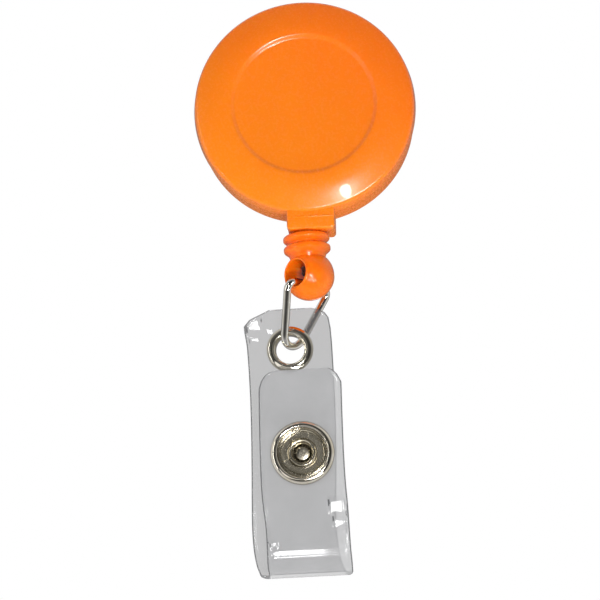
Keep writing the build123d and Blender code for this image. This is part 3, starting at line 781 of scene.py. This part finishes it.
def snap_stud_body():
    """Stud: flange, waist and a round head whose dome shows through the cap."""
    f = FACE
    profile = [(1.0, f), (3.25, f), (3.3, f + 0.1, 0.08), (3.1, f + 0.28, 0.1), (1.7, f + 0.34, 0.15)]
    profile += [(1.26, f + 0.6, 0.2), (1.26, 1.4, 0.15), (1.58, 1.56, 0.12), (1.58, 1.7, 0.12)]
    profile += [(1.15, 1.86, 0.05), (1.12, 2.2, 0.3), (0.98, 2.62, 0.25), (0.5, 2.7, 0.3)]
    profile += [(0, 2.7), (0, 1.3), (1.0, 1.3)]
    return lathe("snap_stud_body", profile, SNAP, 128, 50.0)


def stud_rivet():
    """Rivet behind the back layer."""
    profile = [(0.7, 1.2), (0.7, -0.5, 0.15), (0.95, -0.58, 0.1), (2.3, -0.56, 0.12)]
    profile += [(2.5, -0.4, 0.1), (2.5, -FACE), (1.0, -FACE), (1.0, 1.2)]
    return lathe("stud_rivet", profile, SNAP, 128, 50.0)


def rough_inside(cap, radius):
    """Second, duller finish on the faces inside a radius."""
    cap.data.materials.append(M_DISH)
    back = SNAP.inverted()
    for face in cap.data.polygons:
        local = back @ face.center
        if hypot(local.x, local.y) < radius:
            face.material_index = 1


SNAP_CAP = settle(snap_cap(), "flap", M_SNAP, "socket_eyelet")
rough_inside(SNAP_CAP, 3.44)
# Painted shade: the socket cup takes the darker stud nickel so that the cap's windows read as dark holes.
settle(snap_socket_cup(), "flap", M_STUD_AND_WINDOW_SHADE, "snap_socket")
STUD = settle(snap_stud_body(), "strap", M_STUD_AND_WINDOW_SHADE, "snap_stud")
settle(stud_rivet(), "strap", M_SNAP, "stud_eyelet")


# ---- vinyl strap
def interpolate(rows, s):
    """Catmull-Rom through rows of (s, values...)."""
    i = 0
    while i < len(rows) - 2 and s > rows[i + 1][0]:
        i += 1
    p0, p1, p2, p3 = rows[max(i - 1, 0)], rows[i], rows[i + 1], rows[min(i + 2, len(rows) - 1)]
    span = p2[0] - p1[0]
    t = 0.0 if span == 0 else (s - p1[0]) / span
    out = []
    for k in range(1, len(p1)):
        d1 = (p2[k] - p0[k]) / max(p2[0] - p0[0], 1e-9) * span
        d2 = (p3[k] - p1[k]) / max(p3[0] - p1[0], 1e-9) * span
        t2, t3 = t * t, t * t * t
        start = p1[k] * (2 * t3 - 3 * t2 + 1) + d1 * (t3 - 2 * t2 + t)
        out.append(start + p2[k] * (3 * t2 - 2 * t3) + d2 * (t3 - t2))
    return out


# Middle line and edges, from the eyelet's end round the fold to the flap's end: y, z, left x, right x
STRIP = [
    (5.9, 0.0, -6.5, 5.9),
    (3.2, 0.0, -6.45, 5.9),
    (0.6, 0.0, -6.15, 6.0),
    (-6.1, 0.0, -6.0, 6.05),
    (-12.0, 0.0, -6.08, 5.95),
    (-17.0, 0.0, -6.23, 5.75),
    (-21.5, -0.02, -6.4, 5.5),
    (-25.1, -0.06, -6.5, 5.35),
    (-28.2, -0.1, -6.4, 5.5),
    (-30.4, -0.02, -6.07, 5.85),
    (-31.5, 0.22, -5.7, 6.25),
    (-31.98, 0.62, -5.45, 6.6),
    (-32.2, 1.05, -4.7, 7.0),
    (-32.12, 1.5, -4.3, 7.38),
    (-31.65, 1.93, -4.3, 7.42),
    (-30.9, 2.2, -4.4, 7.42),
    (-30.0, 2.4, -4.4, 7.38),
    (-29.3, 2.492, -4.4, 7.34),
    (-28.6, 2.584, -4.38, 7.32),
    (-28.0, 2.62, -4.38, 7.3),
    (-26.5, 2.62, -4.4, 7.27),
    (-24.8, 2.6, -4.47, 7.24),
    (-22.5, 2.6, -4.7, 7.18),
    (-19.6, 2.6, -4.83, 7.05),
    (-15.3, 2.6, -4.8, 7.0),
    (-10.0, 2.6, -4.7, 7.05),
    (-6.5, 2.62, -4.6, 7.12),
    (-3.4, 2.64, -4.6, 7.15),
]


def ramped(t):
    """Zero below 0, then rising as a square."""
    return max(0.0, t) ** 2


# Flats pressed into the vinyl: x, y, half width, half height, tilt down, tilt right, on the flap
FLATS = [
    (5.75, -23.2, 0.95, 1.1, 5.0, 5.0, True),
    (6.5, -25.05, 1.2, 0.66, 5.0, 5.0, True),
    (-3.55, -27.9, 0.42, 0.22, 5.0, 5.0, True),
    (7.25, -26.4, 0.5, 0.22, 5.0, 5.0, True),
    (-5.05, 3.9, 0.8, 0.85, 5.0, -5.0, False),
    (-5.2, 1.75, 0.72, 0.26, 5.0, -5.0, False),
    (-2.75, 2.75, 0.36, 0.34, 5.0, -5.0, False),
]


def smooth(t):
    """Eases from 0 to 1."""
    t = min(1.0, max(0.0, t))
    return t * t * (3 - 2 * t)


def strap_lift(x, y, front):
    """How far the vinyl stands out of its plane, where it curls or is dented."""
    lift = 0.0
    for cx, cy, half_x, half_y, down, right, on_flap in FLATS:
        if on_flap != front:
            continue
        dx, dy = x - cx, y - cy
        reach = smooth((half_x + FLAT_EDGE - abs(dx)) / FLAT_EDGE)
        reach *= smooth((half_y + FLAT_EDGE - abs(dy)) / FLAT_EDGE)
        if reach > 0:
            lift += reach * (dy * tan(radians(down)) - dx * tan(radians(right)))
    if not front:
        lift += 0.015 * ramped(-(x + 4.75) * 0.68 + (y - 3.05) * 0.73)
        lift += 0.05 * ramped((x - 4.4) * 0.6 + (y - 4.3) * 0.6)
    return lift


# How far each edge draws in at a distance from the strip's two ends
CUT_CORNER = [(0, 3.6), (0.1, 3.45), (0.65, 2.2), (1.25, 0.85), (2.2, 0.0)]
ROUND_CORNER = [(0, 2.6), (0.15, 1.95), (0.35, 1.4), (0.7, 0.75), (1.5, 0.2), (3.0, 0.0)]
FLAP_LEFT = [(0, 2.8), (0.06, 2.1), (0.2, 1.6), (0.55, 1.0), (1.35, 0.42), (2.35, 0.07), (3.0, 0.0)]
FLAP_RIGHT = [(0, 1.75), (0.15, 1.35), (0.45, 0.95), (0.9, 0.57), (2.0, 0.0)]


def inset(table, distance):
    """Straight-line reading of a (distance, inset) table."""
    if distance >= table[-1][0]:
        return 0.0
    for (d0, i0), (d1, i1) in zip(table, table[1:]):
        if distance <= d1:
            return i0 + (i1 - i0) * (distance - d0) / (d1 - d0)
    return 0.0


def strap_rows():
    """Rows along the strip: (y, z, left x, right x, tangent y, tangent z, front)."""
    lengths = run_lengths(STRIP)
    keyed = [(s, *row) for s, row in zip(lengths, STRIP)]
    total = lengths[-1]
    # Stations, closer together towards the rounded ends
    stations = [3.4 * (1 - cos(pi / 2 * k / 26)) for k in range(26)]
    stations += [3.4 + (total - 6.0) * k / 260 for k in range(261)]
    stations += [total - 2.6 + 2.6 * sin(pi / 2 * k / 24) for k in range(1, 25)]
    rows = []
    for s in stations:
        y, z, left, right = interpolate(keyed, s)
        ahead = interpolate(keyed, min(s + 0.02, total))
        behind = interpolate(keyed, max(s - 0.02, 0.0))
        ty, tz = ahead[0] - behind[0], ahead[1] - behind[1]
        norm = hypot(ty, tz)
        left += inset(CUT_CORNER, s) + inset(FLAP_LEFT, total - s)
        right -= inset(ROUND_CORNER, s) + inset(FLAP_RIGHT, total - s)
        rows.append((y, z, left, right, ty / norm, tz / norm, s > total / 2))
    return rows


def strap_vinyl():
    """The whole vinyl strip as one closed sheet with rounded, slightly thick edges."""
    bm = bmesh.new()
    columns = 110
    border = [0.0, 0.06, 0.16, 0.3, 0.42, 0.55, 0.75]
    loops = []
    for y, z, left, right, ty, tz, front in strap_rows():
        width = right - left
        xs = [left + b for b in border] + [
            left + 0.95 + (width - 1.9) * k / (columns - 1) for k in range(columns)
        ] + [right - b for b in border[::-1]]
        face, rear = [], []
        for x in xs:
            edge = min(x - left, right - x)
            half = STRAP_T / 2
            if edge < BEAD:
                half *= sqrt(max(0.0, 1 - ((BEAD - edge) / BEAD) ** 2)) * 0.92 + 0.08
            half += 0.018 * exp(-(((edge - 0.34) / 0.12) ** 2))
            half -= 0.035 * exp(-(((edge - 0.62) / 0.1) ** 2))
            centre = Vector((x, y, z + strap_lift(x, y, front)))
            outward = Vector((0, -tz, ty))
            face.append(centre + outward * half)
            rear.append(centre - outward * half)
        loop = [bm.verts.new(STRAP @ p) for p in face + rear[::-1]]
        loops.append(loop)
    for a, b in zip(loops, loops[1:]):
        bridge(bm, a, b)
    size = len(loops[0])
    half = size // 2
    for loop, flip in ((loops[0], False), (loops[-1], True)):
        for k in range(half - 1):
            quad = [loop[k], loop[k + 1], loop[size - 2 - k], loop[size - 1 - k]]
            bm.faces.new(quad if flip else quad[::-1])
    strap = new_object("strap_vinyl", bm, 60.0)
    boolean(strap, cylinder("eyelet_hole", STRAP, 2.2, -0.8, 0.8), "DIFFERENCE")
    boolean(strap, cylinder("stud_hole", SNAP, 1.02, -0.8, 0.8), "DIFFERENCE")
    boolean(strap, cylinder("socket_hole", SNAP, 1.51, 2.0, 3.1), "DIFFERENCE")
    return soften(strap, 60.0)


def strap_half(whole, name, keep_flap, material):
    """The back or the flap length of the strip, with its cut edges in the darker edge copy of the vinyl,
    a painted shade line.
    """
    bm = bmesh.new()
    bm.from_mesh(whole.data)
    local = STRAP.inverted()
    away = [f for f in bm.faces if ((local @ f.calc_center_median()).z > FOLD_SPLIT) != keep_flap]
    bmesh.ops.delete(bm, geom=away, context="FACES")
    mesh = bpy.data.meshes.new(name)
    bm.to_mesh(mesh)
    bm.free()
    obj = add_object(name, mesh)
    mesh.materials.append(material)
    mesh.materials.append(M_VINYL_EDGE_PAINTED_SHADE)
    for face in mesh.polygons:
        across = face.normal.dot(ACROSS)
        along = abs(face.normal.dot(STRAP_UP))
        # Edge faces take the darker edge copy: a painted shade line along the cut edges.
        face.material_index = 1 if abs(across) > 0.3 or (along > 0.8 and face.area < 2.0e-8) else 0
    return soften(obj, 60.0)


WHOLE = strap_vinyl()
VINYL_BACK = strap_half(WHOLE, "strap_vinyl_back", False, M_VINYL_BACK_PAINTED_SHADE)
VINYL_FLAP = strap_half(WHOLE, "strap_vinyl_flap", True, M_VINYL_FLAP_PAINTED_SHADE)
bpy.data.objects.remove(WHOLE)
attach(VINYL_BACK, "strap")
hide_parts("strap_back")
bends(VINYL_FLAP, "strap_flap")


# ---- belt clip
def strip_bmesh(path, half_widths, thickness):
    """Flat spring strip along (y, z) points in millimetres, with slightly rounded long edges."""
    bm = bmesh.new()
    loops = []
    count = len(path)
    for i, (y, z) in enumerate(path):
        a, b = path[max(i - 1, 0)], path[min(i + 1, count - 1)]
        ty, tz = b[0] - a[0], b[1] - a[1]
        norm = hypot(ty, tz)
        ny, nz = -tz / norm, ty / norm
        w, t = half_widths[i], thickness / 2
        r = 0.1
        u, v = w - r * 0.3, t - r * 0.3
        section = [(-w, -t + r), (-w, t - r), (-u, v), (-w + r, t), (w - r, t), (u, v)]
        section += [(w, t - r), (w, -t + r), (u, -v), (w - r, -t), (-w + r, -t), (-u, -v)]
        loops.append([bm.verts.new(Vector((x, y + ny * n, z + nz * n)) * MM) for x, n in section])
    for a, b in zip(loops, loops[1:]):
        bridge(bm, a, b)
    bm.faces.new(loops[0][::-1])
    bm.faces.new(loops[-1])
    return bm


def along(points, spacing):
    """Points spread evenly along a 2-D polyline."""
    out = [Vector(points[0])]
    for p, q in zip(points, points[1:]):
        p, q = Vector(p), Vector(q)
        cuts = max(1, int(ceil((q - p).length / spacing)))
        out += [p.lerp(q, k / cuts) for k in range(1, cuts + 1)]
    return [(p.x, p.y) for p in out]


def tapered(path, end_radius, at_start):
    """Half widths along the path, with rounded corners at its first or last end."""
    lengths = run_lengths(path)
    widths = []
    for s in lengths:
        distance = s if at_start else lengths[-1] - s
        inner = max(0.0, end_radius - distance)
        widths.append(CLIP_W / 2 - (end_radius - sqrt(end_radius**2 - inner**2)))
    return widths


def fine_end(path, reach, steps, at_start):
    """Adds close points near a rounded end."""
    ordered = path if at_start else path[::-1]
    first = Vector(ordered[0])
    direction = (Vector(ordered[1]) - first).normalized()
    extra = [first + direction * reach * (1 - cos(pi / 2 * k / steps)) for k in range(steps)]
    rest = [p for p in ordered if (Vector(p) - first).length > reach]
    ordered = [(p.x, p.y) for p in extra] + rest
    return ordered if at_start else ordered[::-1]


def clip_plate():
    """Clip's plate, riveted to the case."""
    path = fine_end(along([(-CLIP_MID, CLIP_BOTTOM), (-CLIP_MID, CLIP_TOP)], 0.8), 2.0, 14, True)
    plate = new_object("clip_plate", strip_bmesh(path, tapered(path, 2.0, True), CLIP_T), 35.0)
    boolean(plate, cylinder("rivet_hole", CASE, 1.1, -1, 3, 64), "DIFFERENCE")
    return soften(plate)


def clip_leaf():
    """Clip's fold and leaf in one strip, pinched near the foot and flared at the lip."""
    turn = [pi * k / 18 for k in range(19)]
    fold = [(-CLIP_MID * cos(a), CLIP_TOP + CLIP_MID * sin(a)) for a in turn]
    lip = CLIP_BOTTOM - 1.1
    corners = [(CLIP_MID, 12.0, 0), (CLIP_MID, -4.5, 4.0), (-0.36, -9.6, 1.5), (1.8, lip, 0)]
    leaf = rounded(corners, closed=False)
    path = fine_end(fold + along(leaf, 0.7), 3.0, 16, False)
    return new_object("clip_leaf_strip", strip_bmesh(path, tapered(path, 3.0, False), CLIP_T), 35.0)


CLIP_PLATE = settle(clip_plate(), "case", M_CLIP, "belt_clip")
LEAF = clip_leaf()
LEAF.data.materials.append(M_CLIP)
bends(LEAF, "belt_clip_leaf")


# ---- carried-over nodes
for node_name, finish in (
    ("spool_axle", M_AXLE),
    ("spool", M_SPOOL),
    ("spring_cover", M_SPOOL),
    ("power_spring", M_SPRING),
    ("cord_winding", M_CORD),
    ("socket_spring", M_WIRE),
):
    for slot_entry in NODES[node_name].material_slots:
        slot_entry.material = finish


# ---- world, light, camera
# Brightness that gloss sees: from straight in front, through the sides, to straight behind
SURROUND = [(0.0, 0.01), (0.09, 0.02), (0.17, 0.06), (0.27, 0.24)]
SURROUND += [(0.45, 0.78), (0.62, 1.0), (0.82, 0.5), (1.0, 0.08)]
# Brightness that lights matt surfaces, all round
AMBIENT = 0.27
# Point that the lamps aim at, in metres, and their usual distance
FOCUS = Vector((-0.001, -0.005, -0.02))
NEAR = 0.6


def world():
    """White studio; gloss sees a pale table behind and a dimmer room in front."""
    w = bpy.data.worlds.new("studio")
    w.use_nodes = True
    tree = w.node_tree
    tree.nodes.clear()
    add, link = tree.nodes.new, tree.links.new
    background = add("ShaderNodeBackground")
    link(background.outputs[0], add("ShaderNodeOutputWorld").inputs["Surface"])
    split = add("ShaderNodeSeparateXYZ")
    link(add("ShaderNodeTexCoord").outputs["Generated"], split.inputs[0])
    around = add("ShaderNodeValToRGB")
    around.color_ramp.interpolation = "B_SPLINE"
    set_ramp(around, [(position, (level, level, level)) for position, level in SURROUND])
    share = add("ShaderNodeMapRange")
    share.inputs["From Min"].default_value = -1.0
    link(split.outputs["Y"], share.inputs["Value"])
    link(share.outputs["Result"], around.inputs["Fac"])
    path = add("ShaderNodeLightPath")
    gloss, seen = add("ShaderNodeMix"), add("ShaderNodeMix")
    gloss.data_type = seen.data_type = "FLOAT"
    gloss.inputs["A"].default_value = AMBIENT
    seen.inputs["B"].default_value = 1.0
    link(path.outputs["Is Glossy Ray"], gloss.inputs["Factor"])
    link(around.outputs["Color"], gloss.inputs["B"])
    link(path.outputs["Is Camera Ray"], seen.inputs["Factor"])
    link(gloss.outputs["Result"], seen.inputs["A"])
    link(seen.outputs["Result"], background.inputs["Strength"])
    background.inputs["Color"].default_value = (1, 1, 1, 1)
    SCENE.world = w


def lamp(name, direction, distance, size, power, gloss, only):
    """Area lamp aimed at the object from a direction; it lights one collection, or everything."""
    data = bpy.data.lights.new(name, "AREA")
    data.shape = "RECTANGLE"
    data.size, data.size_y = size
    data.energy = power
    obj = add_object(name, data)
    away = Vector(direction).normalized()
    obj.location = FOCUS + away * distance
    obj.rotation_mode = "QUATERNION"
    obj.rotation_quaternion = away.to_track_quat("Z", "Y")
    obj.visible_camera = False
    obj.visible_glossy = gloss
    if only is not None:
        obj.light_linking.receiver_collection = only
    return obj


def group(name, objects):
    """Collection of the objects that a lamp's light is kept to."""
    receivers = bpy.data.collections.new(name)
    for obj in objects:
        receivers.objects.link(obj)
    return receivers


def lights():
    """Soft studio light, and lamps that reach only some of the pieces."""
    key = (0.215, -0.942, -0.25)
    vinyl_pair = (VINYL_BACK, VINYL_FLAP)
    meshes = [o for o in SCENE.objects if o.type == "MESH"]
    solid = group("all_but_vinyl", [o for o in meshes if o not in vinyl_pair])
    vinyl = group("vinyl_only", vinyl_pair)
    clip = group("clip_only", [CLIP_PLATE, LEAF])
    shiny = group("snap_and_eyelet", (EYELET_RING, SNAP_CAP, STUD))
    cover = group("front_cover_only", [CASE_FRONT])
    wire = group("link_only", [LINK_WIRE])
    ball = group("stopper_only", [STOPPER_BODY])
    made = {}
    # Name, direction, distance, size, watts, whether gloss mirrors it, and the pieces it reaches
    for name, *settings in (
        ("front_lamp", key, NEAR, (0.046, 0.17), 1.12, True, solid),
        ("front_box", key, 0.62, (0.11, 0.28), 0.3, True, solid),
        ("low_strip", (0.27, -0.757, -0.55), NEAR, (0.34, 0.04), 1.7, True, solid),
        ("vinyl_fill", (0.1, -0.97, -0.1), NEAR, (0.4, 0.4), 3.0, False, vinyl),
        ("vinyl_back_fill", (-0.1, 0.97, 0.1), NEAR, (0.4, 0.4), 2.0, False, vinyl),
        ("left_window", (-0.82, -0.57, 0.0), NEAR, (0.03, 0.5), 0.65, True, None),
        ("fill", (-0.2, -0.9, 0.1), 0.8, (0.5, 0.5), 0.05, False, None),
        ("under_fill", (0.0, -0.08, -0.99), 0.8, (0.5, 0.5), 3.9, False, None),
        ("back_left", (0.45, 0.88, 0.25), 0.7, (0.25, 0.4), 1.3, False, None),
        ("back_right", (-0.5, 0.86, -0.1), 0.7, (0.2, 0.4), 0.9, False, None),
        ("upper_fill", (0.0, -0.6, 0.8), 0.8, (0.4, 0.4), 0.3, False, None),
        ("top_fill", (0.0, 0.3, 0.95), 0.8, (0.5, 0.5), 1.6, False, None),
        ("clip_box", (0.15, 0.95, 0.3), NEAR, (0.2, 0.3), 0.35, True, clip),
        ("metal_fill", (-0.3, -0.82, -0.45), NEAR, (0.4, 0.2), 0.28, True, shiny),
        ("metal_front", (0.05, -0.97, 0.24), NEAR, (0.34, 0.3), 0.06, True, shiny),
        ("rim_strip", (0.43, -0.757, -0.5), NEAR, (0.3, 0.07), 2.6, True, cover),
        ("wire_right", (0.85, -0.52, -0.02), NEAR, (0.1, 0.22), 0.8, True, wire),
        ("wire_upper", (-0.33, -0.86, 0.4), NEAR, (0.16, 0.06), 0.3, True, wire),
        ("hole_lamp", (-0.64, -0.76, -0.05), NEAR, (0.1, 0.1), 0.9, False, ball),
    ):
        made[name] = lamp(name, *settings)
    turn = Matrix.Rotation(radians(23), 4, "Z").to_quaternion()
    for light in (made["front_lamp"], made["front_box"]):
        light.data.shape = "ELLIPSE"
        light.rotation_quaternion = light.rotation_quaternion @ turn
    made["rim_strip"].visible_diffuse = False
    made["hole_lamp"].data.color = (1.0, 0.32, 0.15)


def gleam(receivers, point, tilt_down, tilt_right, size, brightness):
    """Gloss-only lamp for the vinyl, placed where the strap's tilted skin mirrors it into the camera."""
    spot = at(STRAP, *point)
    view = (SCENE.camera.matrix_world.translation - spot).normalized()
    down, right = tan(radians(tilt_down)), tan(radians(tilt_right))
    normal = (FRONT - STRAP_UP * down + ACROSS * right).normalized()
    aim = normal * 2 * normal.dot(view) - view
    power = brightness * pi * size[0] * size[1]
    obj = lamp("gleam", aim, NEAR, size, power, True, receivers)
    obj.location = spot + aim * NEAR
    obj.visible_diffuse = False


def gleams():
    """Lamps for the bright patches on the vinyl's pressed flats and above its fold."""
    receivers = group("vinyl_receivers", (VINYL_BACK, VINYL_FLAP))
    for point, tilt_down, tilt_right, size, brightness in (
        ((-1.4, -29.35, 2.75), 7.5, 0.0, (0.0285, 0.014), 28.0),
        ((5.8, -23.8, FLAP_FACE), 5.0, 5.0, (0.05, 0.05), 22.0),
        ((-3.55, -27.9, FLAP_FACE), 5.0, 5.0, (0.03, 0.03), 22.0),
        ((-4.6, 2.4, FACE), 5.0, -5.0, (0.05, 0.05), 22.0),
    ):
        gleam(receivers, point, tilt_down, tilt_right, size, brightness)


def floor():
    """Pale floor far below, clear of the cord at full travel."""
    bm = bmesh.new()
    bmesh.ops.create_grid(bm, x_segments=8, y_segments=8, size=0.8)
    bmesh.ops.translate(bm, verts=bm.verts, vec=(0, 0.7, -0.95))
    obj = new_object("floor", bm)
    m = Nodes("pale_floor")
    m.feed(m.colours(m.noise(6.0), [(0.3, (0.86, 0.86, 0.86)), (0.7, (0.9, 0.9, 0.9))]), "Base Color")
    m.set(Roughness=0.6)
    obj.data.materials.append(m.material)
    obj.visible_diffuse = obj.visible_glossy = False
    lamp("floor_lamp", (0.0, 0.2, 1.0), 0.5, (1.4, 1.4), 15.0, False, group("floor_only", [obj]))


def camera():
    """Camera at the viewing angle: slightly right of the front and below it."""
    azimuth, elevation, roll = (radians(d) for d in (2.799, -13.868, -1.385))
    target, distance = Vector((-1.426, -5.4, -27.909)), 340.0
    level = cos(elevation)
    back = Vector((sin(azimuth) * level, -cos(azimuth) * level, sin(elevation)))
    right = (-back).cross(Vector((0, 0, 1))).normalized()
    up = right.cross(-back)
    right, up = (
        right * cos(roll) + up * sin(roll),
        up * cos(roll) - right * sin(roll),
    )
    data = bpy.data.cameras.new("camera")
    data.sensor_width = 36.0
    data.lens = 143.55
    data.clip_start, data.clip_end = 0.01, 10.0
    obj = add_object("camera", data)
    m = Matrix((right, up, back)).transposed().to_4x4()
    m.translation = (target + back * distance) * MM
    obj.matrix_world = m
    SCENE.camera = obj


world()
lights()
floor()
camera()
gleams()
SCENE.view_settings.view_transform = "Standard"
